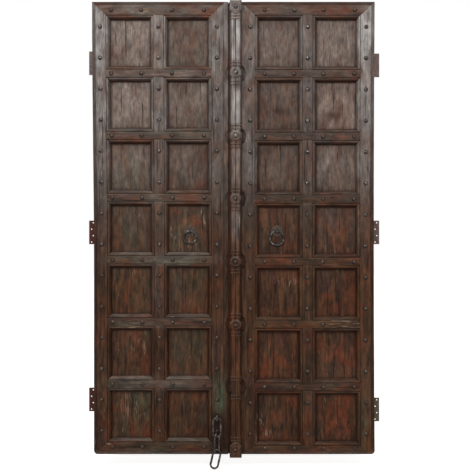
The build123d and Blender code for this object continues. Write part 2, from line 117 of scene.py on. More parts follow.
class DoorColours(bpy.types.PropertyGroup):
    """Colours of the finishes, as sRGB hex values."""

    wood_dark: colour("Dark grain", "Dark lines of the grain", "1b0e07")
    wood_mid: colour("Wood", "Body of the oiled wood", "3d2415")
    wood_light: colour("Light grain", "Worn, paler fibres", "563721")
    wood_red: colour("Red wood", "Red wood where the finish is rubbed away", "5a2b16")
    wood_purple: colour("Purple wood", "Heartwood with a purple cast", "453534")
    # The grey and the panel dust colours are also the colour of the painted sheen on the upper boards
    wood_grey_and_sheen: colour("Grey wood", "Bleached and dusty wood", "938f8c")
    panel_dust_and_sheen: colour("Panel dust", "Warmer dust on the panels", "94877f")
    wood_green: colour("Green remnant", "Remnants of an old green paint", "474d3b")
    wood_nick: colour("Nicks", "Bare fibres in nicks and scratches", "a08d7a")
    # The grime colour is also laid as painted shade in recesses, under the rails and on and behind the
    # astragal
    grime_and_shade: colour("Grime", "Dirt in the recesses", "281208")
    iron: colour("Iron", "Blackened forged iron", "322d2c")
    iron_rubbed: colour("Rubbed iron", "Iron rubbed bare on its edges", "8a817b")
    iron_green: colour("Iron bloom", "Greenish bloom in hollows of the iron", "5a5a4c")
    iron_brown: colour("Brown iron", "Thin rust on studs out of reach of hands", "3c2c22")
    plate: colour("Hinge plate", "Dusty scale on the hinges", "6b5650")
    plate_dark: colour("Hinge scale", "Dark scale on the hinges", "3a2a25")
    plate_red: colour("Hinge rust", "Red rust on the hinges", "4a1b0f")
    plate_olive: colour("Hinge bloom", "Olive bloom on the lowest right hinge", "56553f")
    floor: colour("Floor", "Pale studio floor", "f4f3f1")


def linear(text):
    """Linear RGBA of an sRGB hex value."""
    values = [int(text[k:k + 2], 16) / 255 for k in (0, 2, 4)]
    return [v / 12.92 if v <= 0.04045 else ((v + 0.055) / 1.055) ** 2.4 for v in values] + [1.0]


def add(tree, kind, inputs=None, **settings):
    """Add a node with its settings; an input that is a socket is linked and any other is set."""
    made = tree.nodes.new(kind)
    for key, value in settings.items():
        setattr(made, key, value)
    for key, value in (inputs or {}).items():
        if isinstance(value, bpy.types.NodeSocket):
            tree.links.new(value, made.inputs[key])
        else:
            made.inputs[key].default_value = value
    return made


def blank_material(name):
    """Material with an empty tree and its output."""
    material = bpy.data.materials.new(name)
    material.use_nodes = True
    tree = material.node_tree
    tree.nodes.clear()
    return material, tree, tree.nodes.new("ShaderNodeOutputMaterial")


def painted(tree, name):
    """Number painted on the points of a piece."""
    return add(tree, "ShaderNodeAttribute", attribute_name=name).outputs["Fac"]


def clouds(tree, place, scale, output=0, **more):
    """Noise at a place, with the node's other inputs by their names."""
    inputs = {"Vector": place, "Scale": scale} | {key.title(): value for key, value in more.items()}
    return add(tree, "ShaderNodeTexNoise", inputs).outputs[output]


def ramp(tree, value, low, high, least=0.0, most=1.0, kind="SMOOTHSTEP"):
    """Value mapped from one range to another and held at its ends."""
    inputs = {0: value, 1: low, 2: high, 3: least, 4: most}
    return add(tree, "ShaderNodeMapRange", inputs, interpolation_type=kind).outputs[0]


def level(tree, value, low, high, least, most):
    """Value mapped from one range to another in a straight line."""
    return ramp(tree, value, low, high, least, most, "LINEAR")


def math_of(tree, operation, *values, use_clamp=False):
    """Result of an operation on some values."""
    inputs = dict(enumerate(values))
    return add(tree, "ShaderNodeMath", inputs, operation=operation, use_clamp=use_clamp).outputs[0]


def share_of(tree, first, second):
    """Product of two shares, kept between 0 and 1."""
    return math_of(tree, "MULTIPLY", first, second, use_clamp=True)


def over(tree, share, below, above):
    """Colour laid over another by a share."""
    return add(tree, "ShaderNodeMix", {0: share, 6: below, 7: above}, data_type="RGBA").outputs[2]


def old_wood(name, stretch, colours, sizes, shine, dust_and_sheen_colour):
    """Oiled hardwood, hand planed, dried out and rubbed for generations: streaked, mottled and dusty, with
    painted sheen and painted shade.
    """
    material, tree, output = blank_material(name)
    place = add(tree, "ShaderNodeTexCoord").outputs["Object"]
    tone = painted(tree, "tone")
    # Each board's tone also shifts its grain, so that no two boards repeat
    shift = add(tree, "ShaderNodeVectorMath", {0: tone, 1: (13.0, 7.0, 29.0)}, operation="MULTIPLY")
    moved = add(tree, "ShaderNodeVectorMath", {0: place, 1: shift.outputs[0]}, operation="ADD").outputs[0]
    along, further, nearer = (
        add(tree, "ShaderNodeMapping", {"Vector": moved, "Scale": [s ** power for s in stretch]}).outputs[0]
        for power in (1, 1.6, 0.45)
    )
    # Fibres give fine streaks along the board, drawn wide enough to show at four millimetres to the pixel
    fibre = clouds(tree, along, 1 / sizes.fibre_width, detail=6.0, roughness=0.7, distortion=0.4)
    # Growth figure gives broad wandering bands some 30 mm wide
    figure = clouds(tree, along, 32.0, detail=4.0, roughness=0.6, distortion=1.6)
    # Drying checks give long dark hairlines
    checks = clouds(tree, further, 110.0, detail=2.0, distortion=0.2)
    # Knocks and rubbing mottle the face every 20 mm or so, stains come in patches about a hand wide
    mottle = clouds(tree, nearer, 55.0, detail=5.0, roughness=0.65)
    patches = clouds(tree, nearer, 16.0, detail=5.0, roughness=0.6, distortion=0.8)
    stains = clouds(tree, nearer, 9.0, output=1, detail=6.0, roughness=0.7)
    green_stain, purple_stain = add(tree, "ShaderNodeSeparateColor", {0: stains}).outputs[:2]
    nicks = clouds(tree, along, 75.0, detail=1.0, distortion=2.0)

    body = over(tree, ramp(tree, fibre, 0.34, 0.66), linear(colours.wood_dark), linear(colours.wood_mid))
    lighter = over(tree, ramp(tree, figure, 0.42, 0.68, most=0.8), body, linear(colours.wood_light))
    red_share = share_of(tree, ramp(tree, patches, 0.46, 0.66), painted(tree, "ruddy"))
    redder = over(tree, red_share, lighter, linear(colours.wood_red))
    cooler = over(tree, ramp(tree, purple_stain, 0.52, 0.72, most=0.32), redder, linear(colours.wood_purple))
    green_share = share_of(tree, ramp(tree, green_stain, 0.4, 0.62), painted(tree, "mossy"))
    greener = over(tree, green_share, cooler, linear(colours.wood_green))
    # Dust and bleaching, which also stand for painted sheen, lie where they are painted, thin on the patches
    # and thick on raised fibres
    uneven = level(tree, patches, 0.35, 0.68, 1.4, 0.45)
    raised = level(tree, fibre, 0.34, 0.66, 0.65, 1.35)
    dust = share_of(tree, math_of(tree, "MULTIPLY", painted(tree, "bleach_and_sheen"), uneven), raised)
    greyer = over(tree, dust, greener, linear(dust_and_sheen_colour))
    # Nicks bare pale fibres here and there, and many of them in a scuffed place
    scuffed = share_of(tree, ramp(tree, nicks, 0.56, 0.66), painted(tree, "scuff"))
    nick_share = math_of(tree, "MAXIMUM", ramp(tree, nicks, 0.74, 0.8, most=0.45), scuffed)
    nicked = over(tree, nick_share, greyer, linear(colours.wood_nick))
    check_share = ramp(tree, checks, 0.63, 0.7, most=0.75)
    checked = over(tree, check_share, nicked, linear(colours.wood_dark))
    # The grime number lays this colour as dirt and as painted shade in the recesses
    dirty_and_shaded = over(tree, painted(tree, "grime_and_shade"), checked, linear(colours.grime_and_shade))
    # Boards differ in brightness, and so do spots on them
    board_share = level(tree, tone, 0.0, 1.0, 0.84, 1.1)
    spot_share = level(tree, mottle, 0.3, 0.7, 0.55, 1.45)
    brightness = math_of(tree, "MULTIPLY", board_share, spot_share)
    toned = add(tree, "ShaderNodeVectorMath", {0: dirty_and_shaded, "Scale": brightness}, operation="SCALE").outputs[0]

    furrows = math_of(tree, "SUBTRACT", math_of(tree, "ADD", fibre, mottle), check_share)
    bump = add(tree, "ShaderNodeBump", {"Height": furrows, "Strength": 0.8, "Distance": 0.0014}).outputs[0]
    rough = level(tree, patches, 0.3, 0.7, shine, shine + 0.2)
    shader = add(tree, "ShaderNodeBsdfPrincipled", {
        "Base Color": toned, "Roughness": rough, "Normal": bump, "IOR": 1.45, "Specular IOR Level": 0.17})
    tree.links.new(shader.outputs[0], output.inputs["Surface"])
    return material


def forged_iron(name, base, patch, rust, roughness, metal=0.75, bloom=None):
    """Forged iron, blackened in the fire and rubbed by hands: dark scale, a soft gleam and brown rust."""
    material, tree, output = blank_material(name)
    place = add(tree, "ShaderNodeTexCoord").outputs["Object"]
    # Scale and bloom lie in patches some 12 mm wide, hammer marks are about 6 mm
    patches = clouds(tree, place, 80.0, detail=5.0, roughness=0.65)
    hammer = clouds(tree, place, 170.0, detail=2.0)
    uneven = level(tree, patches, 0.3, 0.7, 1.2, 0.7)
    rusted = share_of(tree, painted(tree, "rust"), uneven)
    scaled = over(tree, ramp(tree, patches, 0.44, 0.66, most=0.6), linear(base), linear(patch))
    mixed = over(tree, rusted, scaled, linear(rust))
    if bloom:
        mixed = over(tree, share_of(tree, painted(tree, "bloom"), uneven), mixed, linear(bloom))
    rough = level(tree, patches, 0.3, 0.7, roughness - 0.06, roughness + 0.14)
    duller = math_of(tree, "MULTIPLY_ADD", rusted, 0.25, rough, use_clamp=True)
    bump = add(tree, "ShaderNodeBump", {"Height": hammer, "Strength": 0.35, "Distance": 0.001}).outputs[0]
    shader = add(tree, "ShaderNodeBsdfPrincipled", {
        "Base Color": mixed, "Metallic": metal, "Roughness": duller, "Normal": bump})
    tree.links.new(shader.outputs[0], output.inputs["Surface"])
    return material


def smooth(low, high, value):
    """Smooth step from 0 to 1 as a value goes from low to high."""
    share = min(max((value - low) / (high - low), 0.0), 1.0)
    return share * share * (3 - 2 * share)


def lean(point):
    """Sideways drift of the leaves' outer edges over the years; the meeting edges stay."""
    sizes = bpy.context.scene.door_sizes
    if point.x < 0:
        return Vector((-sizes.outward_lean * point.x / LEFT_EDGE * smooth(-0.2, 0.97, point.z), 0, 0))
    return Vector((0.25 * sizes.outward_lean * point.x / RIGHT_EDGE * (2 * point.z * point.z - 1), 0, 0))


def field(point):
    """Slow warp of the whole door at a point, the same for every board so that joints stay closed."""
    slow = noise.noise_vector(point * 6.0)
    quick = noise.noise_vector(point * 34.0)
    return Vector((0.25 * slow.x, slow.y, 0.25 * slow.z)) + 0.3 * quick


def merged(node):
    """Mesh of a CAD node, with its loose triangles joined and flat faces made whole."""
    bm = bmesh.new()
    bm.from_mesh(frame["nodes"][node].data)
    bmesh.ops.remove_doubles(bm, verts=bm.verts, dist=1e-6)
    bmesh.ops.dissolve_limit(bm, angle_limit=math.radians(0.5), verts=bm.verts, edges=bm.edges)
    return bm


def ease(bm, width, segments=2):
    """Round the arrises of a mesh, where its faces meet at more than 20 degrees."""
    arrises = [e for e in bm.edges if e.is_manifold and e.calc_face_angle() > math.radians(20)]
    bmesh.ops.bevel(
        bm, geom=arrises, offset=width, offset_type="OFFSET", segments=segments, profile=0.5, affect="EDGES",
        clamp_overlap=True, material=-1,
    )


def cut_grid(bm, step):
    """Cut a mesh across each long axis at a spacing, so that it can be moved out of true."""
    low, high = box_of(bm.verts)
    for axis in (0, 2):
        count = int((high[axis] - low[axis]) / step)
        normal = Vector((axis == 0, 0, axis == 2))
        for k in range(1, count):
            spot = low.lerp(high, k / count)
            bmesh.ops.bisect_plane(
                bm, geom=bm.verts[:] + bm.edges[:] + bm.faces[:], dist=1e-7, plane_co=spot, plane_no=normal
            )


def warp(bm, amount):
    """Move a mesh by the door's own unevenness."""
    for v in bm.verts:
        v.co += amount * field(v.co) + lean(v.co)


def finish_piece(bm, name, body, material, nodes, angle=32):
    """Turn a mesh into a piece that rides on a body and stands for its CAD nodes."""
    mesh = bpy.data.meshes.new(name)
    bm.to_mesh(mesh)
    bm.free()
    mesh.shade_smooth()
    mesh.set_sharp_from_angle(angle=math.radians(angle))
    mesh.materials.append(material)
    piece = bpy.data.objects.new(name, mesh)
    bpy.context.scene.collection.objects.link(piece)
    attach(piece, body)
    if nodes:
        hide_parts(*nodes)
    return piece


def paint(piece, name, value):
    """Store a number per point of a piece, worked out from the point's place and normal."""
    layer = piece.data.attributes.new(name, "FLOAT", "POINT")
    layer.data.foreach_set("value", [value(v.co, v.normal) for v in piece.data.vertices])


def islands(bm):
    """Groups of joined vertices in a mesh."""
    seen = set()
    groups = []
    for first in bm.verts:
        if first in seen:
            continue
        seen.add(first)
        group = [first]
        for v in group:
            for edge in v.link_edges:
                other = edge.other_vert(v)
                if other not in seen:
                    seen.add(other)
                    group.append(other)
        groups.append(group)
    return groups


def edges_of(verts):
    """Edges at some vertices, each once and in a fixed order."""
    return list(dict.fromkeys(edge for v in verts for edge in v.link_edges))


def faces_of(verts):
    """Faces at some vertices, each once and in a fixed order."""
    return list(dict.fromkeys(face for v in verts for face in v.link_faces))


def turn(bm, profile, centre, steps):
    """Turn a profile full circle about an axis through a centre that points at the viewer."""
    bmesh.ops.spin(
        bm, geom=profile + edges_of(profile), cent=centre, axis=(0, 1, 0), angle=2 * math.pi, steps=steps,
        use_merge=True,
    )


def box_of(group):
    """Lowest and highest corner of a group of vertices."""
    low = Vector((min(v.co[k] for v in group) for k in range(3)))
    high = Vector((max(v.co[k] for v in group) for k in range(3)))
    return low, high


def solid_boxes(node):
    """Boxes of the separate solids in a CAD node."""
    bm = merged(node)
    boxes = [box_of(group) for group in islands(bm)]
    bm.free()
    return boxes


def moulding_shade_and_grime(point, normal):
    """Painted shade and dirt in the mouldings of a board: darkest under the rails and at the foot of slopes,
    thin on ledges.
    """
    depth = point.y - FRONT
    if depth > BACK_DEPTH or normal.y > 0.5:
        return 0.2
    rubbed = MEETING_EDGE - PALE_RIM_WIDTH < point.x < MEETING_EDGE or point.z < BOTTOM_EDGE + RIM_WIDTH
    # A painted dark line of shade in the quirks, left off the pale rims
    line = 0.65 if RIM_DEPTH[0] < depth < RIM_DEPTH[1] and not rubbed else 0.0
    under, ledge = max(-normal.z, 0.0), max(normal.z, 0.0)
    start = 0.005 if rubbed else 0.0008
    # Ledges facing up get less painted shade lower down, as painted light from above
    lit_ledge_share = (0.6 if point.x < 0 else 0.2) * ledge * smooth(*LEDGE_LIGHT_HEIGHTS, point.z)
    slope = smooth(start, SLOPE_FOOT, depth) * (0.6 + 0.4 * under - lit_ledge_share)
    return min(max(line, slope, 0.6 * under), 1.0)


def dust_and_sheen_by_height(share):
    """Dust and bleaching of a board, with painted sheen: more towards the top, and some on every ledge, with
    painted light on the lower ledges.
    """
    def value(point, normal):
        if normal.y > 0.5:
            return 0.15
        ledge = 0.04 + (0.18 if point.x < 0 else 0.03) * smooth(*LEDGE_LIGHT_HEIGHTS, point.z)
        return share * smooth(-0.25, 0.95, point.z) + ledge * max(normal.z - 0.15, 0.0)
    return value


def even(value):
    """Same number at every point of a piece."""
    return lambda point, normal: value


def spots(point, places):
    """Strongest of some oval marks at a point on the front: x, z, half width, half height, strength."""
    if point.y > PANEL_FACE + 0.004:
        return 0.0
    return max(
        strength * math.exp(-((point.x - x) / wide) ** 2 - ((point.z - z) / tall) ** 2)
        for x, z, wide, tall, strength in places
    )


# Places rubbed down to red wood, with a rest of green paint, and scuffed; dusty places, some of them painted
# sheen; places stained dark, two of them the chain's painted shadow
RED_MARKS = (
    (0.215, -0.222, 0.05, 0.018, 1.8), (-0.19, 0.035, 0.05, 0.04, 1.2), (-0.18, 0.185, 0.06, 0.03, 0.5),
    (0.19, -0.6, 0.1, 0.04, 0.6), (0.45, -0.54, 0.1, 0.14, 0.6), (0.45, -0.8, 0.1, 0.12, 0.6),
    (-0.44, -0.84, 0.1, 0.06, 1.2), (-0.41, -0.45, 0.05, 0.06, 1.1), (-0.13, 0.85, 0.06, 0.08, 0.7),
)
GREEN_MARKS = (
    (-0.064, -0.705, 0.024, 0.09, 1.5), (-0.25, -0.133, 0.1, 0.02, 0.3), (-0.36, -0.394, 0.16, 0.02, 0.5),
    (0.3, -0.405, 0.16, 0.02, 0.2), (-0.22, 0.02, 0.05, 0.06, 0.3), (-0.2, 0.75, 0.08, 0.1, 0.4),
    (-0.4, -0.72, 0.06, 0.03, 0.45), (0.56, -0.83, 0.02, 0.06, 0.5),
)
SCUFFS = (
    (-0.13, 0.05, 0.02, 0.05, 0.6), (-0.26, 0.0, 0.02, 0.07, 0.35), (-0.2, -0.085, 0.05, 0.03, 0.4),
    (-0.42, -0.74, 0.09, 0.08, 0.3), (-0.4, -0.5, 0.05, 0.05, 0.25), (0.22, -0.22, 0.05, 0.02, 0.4),
    (-0.41, -0.41, 0.07, 0.03, 0.4), (0.43, -0.13, 0.08, 0.05, 0.3), (-0.44, 0.88, 0.09, 0.05, 0.3),
    (0.46, -0.405, 0.08, 0.02, 0.55), (0.107, -0.82, 0.02, 0.03, 0.6), (0.13, -0.88, 0.03, 0.02, 0.6),
)
# Painted sheen at the tops of both hinge stiles and on the upper panels, and dust along the bottom edges
DUST_AND_SHEEN_MARKS = (
    (-0.575, 0.72, 0.03, 0.16, 0.25), (0.565, 0.82, 0.03, 0.14, 0.25), (-0.44, 0.53, 0.12, 0.1, 0.2),
    (-0.2, 0.53, 0.12, 0.1, 0.2), (0.43, 0.27, 0.12, 0.1, 0.22), (0.06, 0.3, 0.03, 0.14, 0.15),
    (0.18, 0.8, 0.1, 0.09, 0.14), (-0.44, 0.27, 0.12, 0.09, 0.1), (-0.2, 0.27, 0.12, 0.09, 0.12),
    (0.18, 0.27, 0.1, 0.09, 0.1), (0.0, 0.04, 0.02, 0.08, 0.2), (0.45, -0.6, 0.1, 0.12, 0.04),
    (-0.31, 0.127, 0.22, 0.03, 0.08), (-0.31, -0.133, 0.22, 0.03, 0.12), (-0.31, -0.394, 0.22, 0.03, 0.05),
    (-0.31, -0.655, 0.22, 0.03, 0.12), (-0.07, -0.53, 0.03, 0.1, 0.05), (-0.33, -0.26, 0.03, 0.1, 0.07),
    (-0.33, -0.951, 0.3, 0.008, 0.26), (0.33, -0.951, 0.3, 0.008, 0.2),
)
# Dark stains; the first two are the painted shadow of the chain on the stile behind and beside its links
STAINS_AND_CHAIN_SHADOW = (
    (-0.07, -0.835, 0.02, 0.045, 1.0), (-0.066, -0.925, 0.022, 0.05, 0.95), (0.19, 0.505, 0.032, 0.016, 0.8),
    (0.417, 0.486, 0.032, 0.018, 0.85), (0.18, 0.735, 0.022, 0.01, 0.5), (-0.21, 0.705, 0.05, 0.012, 0.4),
    (-0.18, 0.755, 0.05, 0.012, 0.3),
)


def weather(piece, tone, grime_and_shade, bleach_and_sheen, ruddy, mossy):
    """Paint a board's tone, dirt and painted shade, bleaching and painted sheen, redness, green remnants and
    scuffs on its points.
    """
    def red_with_underside_shade(point, normal):
        # Undersides are painted a deeper red as painted shade
        return ruddy(point) + spots(point, RED_MARKS) + 1.8 * max(-normal.z - 0.2, 0.0)

    paint(piece, "tone", tone)
    paint(piece, "grime_and_shade", lambda point, normal: max(grime_and_shade(point, normal), spots(point, STAINS_AND_CHAIN_SHADOW)))
    paint(piece, "bleach_and_sheen", lambda point, normal: bleach_and_sheen(point, normal) + spots(point, DUST_AND_SHEEN_MARKS))
    paint(piece, "ruddy", red_with_underside_shade)
    paint(piece, "mossy", lambda point, _: mossy + spots(point, GREEN_MARKS))
    paint(piece, "scuff", lambda point, _: spots(point, SCUFFS))


class DOOR_OT_frame_members(bpy.types.Operator):
    """Stiles, rails and muntins of both leaves, worn and slightly out of true"""

    bl_idname = "door.frame_members"
    bl_label = "Frame members"

    def execute(self, context):
        sizes, colours = context.scene.door_sizes, context.scene.door_colours
        grey = colours.wood_grey_and_sheen
        upright = old_wood("Oiled hardwood, upright grain", (1, 1, 0.1), colours, sizes, 0.34, grey)
        crosswise = old_wood("Oiled hardwood, level grain", (0.1, 1, 1), colours, sizes, 0.5, grey)
        rng = random.Random(7)
        for side in SIDES:
            for node in frame["record"]["behaviour"]["bodies"][f"{side}_leaf"]:
                if not any(word in node for word in ("stile", "rail", "muntin")):
                    continue
                bm = merged(node)
                ease(bm, sizes.edge_ease)
                cut_grid(bm, sizes.board_step)
                warp(bm, sizes.unevenness)
                wood = crosswise if "rail" in node else upright
                piece = finish_piece(bm, f"{node}_worn", f"{side}_leaf", wood, [node])
                # The bleach number is dust and painted sheen: most on the hinge stiles, more on the left
                # leaf, least on the rails
                tone, bleach_and_sheen, ruddy, mossy = rng.random(), 0.36 if side == "left" else 0.24, 0.3, 0.12
                if "hinge_stile" in node:
                    bleach_and_sheen = 0.56
                elif "rail" in node and side == "left":
                    tone, bleach_and_sheen, ruddy, mossy = 0.45 + 0.55 * tone, 0.13, 0.55, 0.25
                elif "rail" in node:
                    tone, bleach_and_sheen, ruddy, mossy = 0.2 + 0.4 * tone, 0.1, 0.7, 0.1
                weather(piece, even(tone), moulding_shade_and_grime, dust_and_sheen_by_height(bleach_and_sheen), lambda point: ruddy, mossy)
        self.fillets(upright)
        return {"FINISHED"}

    def fillets(self, wood):
        """Close the joint behind the astragal with lapped fillets on the leaves, the left one behind"""
        low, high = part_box("left_meeting_stile")
        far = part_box("right_meeting_stile")[0].x
        thickness, end_gap = 0.008, 0.004
        for side, begin, end, depth in (
            ("left", high.x - 0.001, far - 0.0014, 0.022), ("right", high.x + 0.0008, far + 0.001, 0.012),
        ):
            bm = bmesh.new()
            place = Matrix.Translation(((begin + end) / 2, FRONT + depth, (low.z + high.z) / 2))
            extent = Matrix.Diagonal((end - begin, thickness, high.z - low.z - end_gap, 1))
            bmesh.ops.create_cube(bm, size=1, matrix=place @ extent)
            piece = finish_piece(bm, f"{side}_meeting_fillet", f"{side}_leaf", wood, ())
            # The fillets get painted shade in the joint behind the astragal, in a deep red
            weather(piece, even(0.3), even(0.6), even(0.0), lambda point: 1.0, 0.0)


class DOOR_OT_panels(bpy.types.Operator):
    """Flat panels of both leaves, darkened along their edges by painted shade and dirt"""

    bl_idname = "door.panels"
    bl_label = "Panels"

    def execute(self, context):
        sizes, colours = context.scene.door_sizes, context.scene.door_colours
        dust = colours.panel_dust_and_sheen
        wood = old_wood("Dry hardwood panel, upright grain", (1, 1, 0.15), colours, sizes, 0.42, dust)
        hidden_edge, edge_shade_width = 0.009, 0.0035
        rng = random.Random(11)
        for side in SIDES:
            for column in ("hinge_side", "meeting_side"):
                node = f"{side}_{column}_panels"
                bm = merged(node)
                ease(bm, sizes.edge_ease)
                cut_grid(bm, sizes.board_step * 0.8)
                boxes = []
                for group in islands(bm):
                    low, high = box_of(group)
                    # The right leaf's lower panels are the freshest brown
                    least = 0.7 if side == "right" and high.z < -0.3 else 0.0
                    boxes.append((low, high, max(rng.random(), least)))
                warp(bm, sizes.unevenness)

                def nearest(point):
                    return min(boxes, key=lambda box: abs((box[0].z + box[1].z) / 2 - point.z))

                # Painted shade and dirt where the panel meets the frame
                def edge_shade_and_dirt(point, _):
                    low, high, _ = nearest(point)
                    edge = min(point.x - low.x, high.x - point.x, point.z - low.z, high.z - point.z)
                    return 0.75 * math.exp(-max(edge - hidden_edge, 0.0) / edge_shade_width)

                def redness(point):
                    return 0.25 + 0.2 * smooth(0.3, -0.7, point.z) + 0.25 * nearest(point)[2]

                piece = finish_piece(bm, f"{node}_worn", f"{side}_leaf", wood, [node])
                # Hinge-side panels get more painted sheen with their dust
                bleach_and_sheen = 0.4 if column == "hinge_side" else 0.21
                mossy = 0.2 if side == "left" else 0.06
                weather(piece, lambda point, _: nearest(point)[2], edge_shade_and_dirt, dust_and_sheen_by_height(bleach_and_sheen), redness, mossy)
        return {"FINISHED"}


class DOOR_OT_astragal(bpy.types.Operator):
    """Carved astragal with a turned collar round each boss's stud"""

    bl_idname = "door.astragal"
    bl_label = "Astragal"

    def execute(self, context):
        sizes, colours = context.scene.door_sizes, context.scene.door_colours
        wood = old_wood("Rubbed hardwood post", (1, 1, 0.08), colours, sizes, 0.32, colours.wood_grey_and_sheen)
        bm = merged("astragal")
        post_ease, collar_bar, boss_reach, shaft_lift = 0.0011, 0.0022, 0.056, 0.024
        ease(bm, post_ease, segments=3)
        cut_grid(bm, sizes.board_step * 2.5)
        for low, high in solid_boxes("astragal_studs"):
            seat = Vector(((low.x + high.x) / 2, high.y, (low.z + high.z) / 2))
            start = Matrix.Translation(seat + Vector((sizes.collar_radius, 0, 0)))
            ring = bmesh.ops.create_circle(bm, segments=6, radius=collar_bar, matrix=start)["verts"]
            turn(bm, ring, seat, 24)
        bmesh.ops.recalc_face_normals(bm, faces=bm.faces)
        piece = finish_piece(bm, "astragal_carved", "right_leaf", wood, ["astragal"])
        shaft = FRONT - shaft_lift
        bosses = [(low.z + high.z) / 2 for low, high in solid_boxes("astragal_studs")]

        # Painted shade on the astragal's sides behind the shaft
        def side_shade(point, _):
            return 0.65 * smooth(0.0003, 0.0012, point.y - shaft)

        # Painted sheen and wear: the shaft's front is pale except near the bosses, paler towards the top,
        # with painted light on faces that look up
        def rubbed(point, normal):
            carved = min(abs(point.z - middle) for middle in bosses) < boss_reach
            worn = 0.85 if abs(point.y - shaft) < 0.0006 and not carved else 0.34
            return worn * smooth(-0.15, 0.95, point.z) + 0.3 * max(normal.z - 0.2, 0.0)

        def redness(point):
            return 0.15 + (point.y > shaft + 0.004)

        weather(piece, even(0.9), side_shade, rubbed, redness, 0.1)
        return {"FINISHED"}


class DOOR_OT_studs(bpy.types.Operator):
    """Forged stud heads on the stiles, rails, muntins and bosses"""

    bl_idname = "door.studs"
    bl_label = "Studs"

    def execute(self, context):
        sizes, colours = context.scene.door_sizes, context.scene.door_colours
        iron = forged_iron(
            "Blackened forged iron, rubbed studs", colours.iron, colours.iron_rubbed, colours.iron_brown, 0.24
        )
        stud_radius, rail_reach = 0.0096, 0.018
        rng = random.Random(23)
        for node, side in (("left_studs", "left"), ("right_studs", "right"), ("astragal_studs", "right")):
            bm = bmesh.new()
            for low, high in solid_boxes(node):
                x, z = (low.x + high.x) / 2, (low.z + high.z) / 2
                x += lean(Vector((x, 0, z))).x
                seat = high.y
                radius = stud_radius * rng.uniform(0.92, 1.03)
                place = Matrix.Translation((x, seat, z)) @ Matrix.Rotation(rng.uniform(0, 1), 4, "Y")
                shape = place @ Matrix.Diagonal((radius, sizes.stud_lift * rng.uniform(0.85, 1.0), radius, 1))
                faced = shape @ Matrix.Rotation(math.pi / 2, 4, "X")
                head = bmesh.ops.create_uvsphere(
                    bm, u_segments=12, v_segments=8, radius=1, matrix=faced
                )["verts"]
                behind = [v for v in head if v.co.y > seat + 1e-6]
                bmesh.ops.delete(bm, geom=behind, context="VERTS")
            piece = finish_piece(bm, f"{node}_forged", f"{side}_leaf", iron, [node], angle=60)
            rails = [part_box(name) for name in frame["nodes"] if "rail" in name and name.startswith(side)]
            middles = [(low.z + high.z) / 2 for low, high in rails]

            def browning(point, _):
                on_rail = min(abs(point.z - middle) for middle in middles) < rail_reach
                least = 0.75 if on_rail and node != "astragal_studs" else 0.0
                return max(least, 0.75 * smooth(0.35, -0.35, point.z))

            paint(piece, "rust", browning)
        return {"FINISHED"}


class DOOR_OT_ring_pulls(bpy.types.Operator):
    """Ring pulls: lobed rosette with beads, staple and forged ring"""

    bl_idname = "door.ring_pulls"
    bl_label = "Ring pulls"

    def execute(self, context):
        colours = context.scene.door_colours
        brown = colours.iron_brown
        iron = forged_iron("Blackened forged iron, worn ring", colours.iron, colours.iron_rubbed, brown, 0.34)
        bloom = forged_iron(
            "Forged iron, browned with a green bloom", brown, colours.iron_green, brown, 0.6, 0.3
        )
        beads, bead_radius, bead_reach, hammering = 8, 0.0034, 0.0195, 0.0004
        for side in SIDES:
            leaf = f"{side}_leaf"
            low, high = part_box(f"{side}_pull_rosette")
            centre = (low + high) / 2
            bm = merged(f"{side}_pull_rosette")
            ease(bm, 0.0006)
            for k in range(beads):
                angle = 2 * math.pi * (k + 0.5) / beads
                x, z = centre.x + bead_reach * math.sin(angle), centre.z + bead_reach * math.cos(angle)
                flattened = Matrix.Translation((x, low.y, z)) @ Matrix.Diagonal((1, 0.55, 1, 1))
                bmesh.ops.create_uvsphere(
                    bm, u_segments=10, v_segments=6, radius=bead_radius, matrix=flattened
                )
            finish_piece(bm, f"{side}_rosette_beaded", leaf, bloom, [f"{side}_pull_rosette"])
            bm = merged(f"{side}_pull_staple")
            ease(bm, 0.0012, segments=3)
            finish_piece(bm, f"{side}_staple_forged", leaf, iron, [f"{side}_pull_staple"])
            low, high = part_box(f"{side}_pull_ring")
            centre = (low + high) / 2
            bar = (high.y - low.y) / 2
            reach = (high.z - low.z) / 2 - bar
            bm = bmesh.new()
            start = Matrix.Translation(centre + Vector((reach, 0, 0)))
            profile = bmesh.ops.create_circle(bm, segments=14, radius=bar, matrix=start)["verts"]
            turn(bm, profile, centre, 48)
            bmesh.ops.recalc_face_normals(bm, faces=bm.faces)
            for v in bm.verts:
                v.co += hammering * noise.noise_vector(v.co * 90)
            ring = f"{side}_pull_ring"
            finish_piece(bm, f"{side}_ring_forged", f"{side}_ring", iron, [ring], angle=60)
        return {"FINISHED"}


